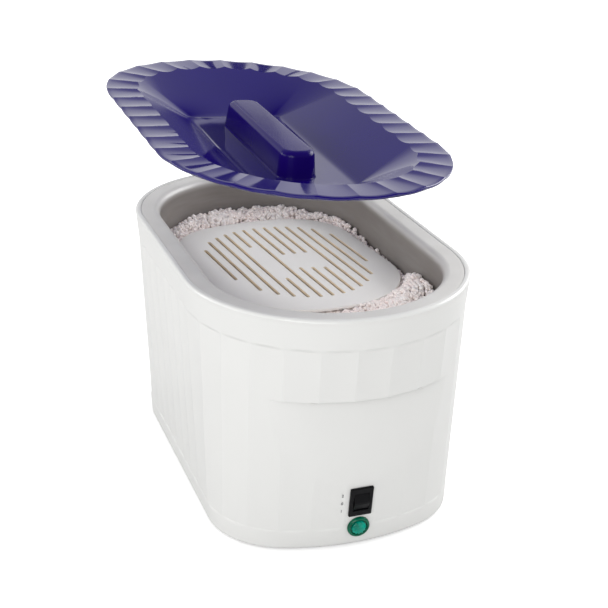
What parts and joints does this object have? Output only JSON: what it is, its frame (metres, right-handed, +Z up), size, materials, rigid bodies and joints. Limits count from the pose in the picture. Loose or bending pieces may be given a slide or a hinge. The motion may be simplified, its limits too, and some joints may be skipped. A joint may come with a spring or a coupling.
{
  "type": "paraffin bath",
  "caption": "Table-top paraffin bath: fluted oval housing, aluminium tank with wax and a loose grid, scalloped lid with a block handle, rocker switch and lamp at one end.",
  "frame": {"origin": "on the table under the middle of the housing, in the plane of the feet", "axes": "+Z up, +Y along the long side away from the end with the switch, +X to the right seen from that end"},
  "size_m": [0.2492, 0.3925, 0.315],
  "materials": {
    "white_housing": "smooth moulded white, satin gloss",
    "tank_metal": "grey anodised, fine brushed grain",
    "dark_rubber": "black elastomer",
    "wax": "pinkish white paraffin beads",
    "heater_silicone": "red silicone heater",
    "insulation": "glass-fibre felt",
    "zinc_steel": "zinc plated",
    "base_paint": "light grey powder coat",
    "black_plastic": "black thermoplastic",
    "terminal_brass": "plain brass",
    "lens_green": "clear green lens",
    "bulb_glass": "clear glass",
    "block_nylon": "natural nylon",
    "lead_cover": "white silicone insulation",
    "earth_cover": "green insulation",
    "grid_plastic": "off-white moulded, satin",
    "lid_violet": "deep violet, glossy",
    "handle_violet": "darker violet, glossy"
  },
  "bodies": {
    "housing": {"base_plate": "base_paint", "base_screws": "zinc_steel", "clamp_nuts": "zinc_steel", "clamp_plate": "zinc_steel", "cord_gland": "dark_rubber", "earth_lead": "earth_cover", "earth_screw": "zinc_steel", "earth_tag": "terminal_brass", "feet": "dark_rubber", "foot_screws": "zinc_steel", "fuse_clip": "zinc_steel", "gland_nut": "dark_rubber", "heater_band": "heater_silicone", "housing": "white_housing", "insulation_pad": "insulation", "insulation_wrap": "insulation", "lamp_body": "black_plastic", "lamp_bulb": "bulb_glass", "lamp_lead": "lead_cover", "lamp_lens": "lens_green", "lamp_nut": "black_plastic", "lamp_terminals": "terminal_brass", "lead_saddles": "block_nylon", "melt_heater": "heater_silicone", "melt_lead": "lead_cover", "melt_thermostat": "black_plastic", "return_lead": "lead_cover", "rim_gasket": "dark_rubber", "rocker_pin": "zinc_steel", "stud_nuts": "zinc_steel", "supply_lead": "lead_cover", "switch_body": "black_plastic", "switch_terminals": "terminal_brass", "tank": "tank_metal", "tank_studs": "zinc_steel", "terminal_block": "block_nylon", "terminal_screws": "zinc_steel", "thermal_fuse": "bulb_glass", "thermostat": "black_plastic", "thermostat_bar": "zinc_steel", "thermostat_lead": "lead_cover", "tie_nuts": "zinc_steel", "tie_rods": "zinc_steel", "wax_beads": "wax"},
    "grid": {"grid": "grid_plastic"},
    "lid": {"lid_shell": "lid_violet", "lid_handle": "handle_violet", "handle_screws": "zinc_steel"},
    "rocker": {"rocker": "black_plastic"}
  },
  "joints": [
    {"name": "grid_lift", "type": "slide", "parent": "housing", "child": "grid", "axis": [0, 0, 1], "range_m": [0, 0.045]},
    {"name": "lid_lift", "type": "hinge", "parent": "grid", "child": "lid", "pos_m": [1.00379, -0.68988, 0.5335], "axis": [0.5664, 0.8241, 0], "range_deg": [-4.33, 4]},
    {"name": "rocker_tilt", "type": "hinge", "parent": "housing", "child": "rocker", "pos_m": [0, -0.1674, 0.04353], "axis": [1, 0, 0], "range_deg": [-12, 12]}
  ]
}
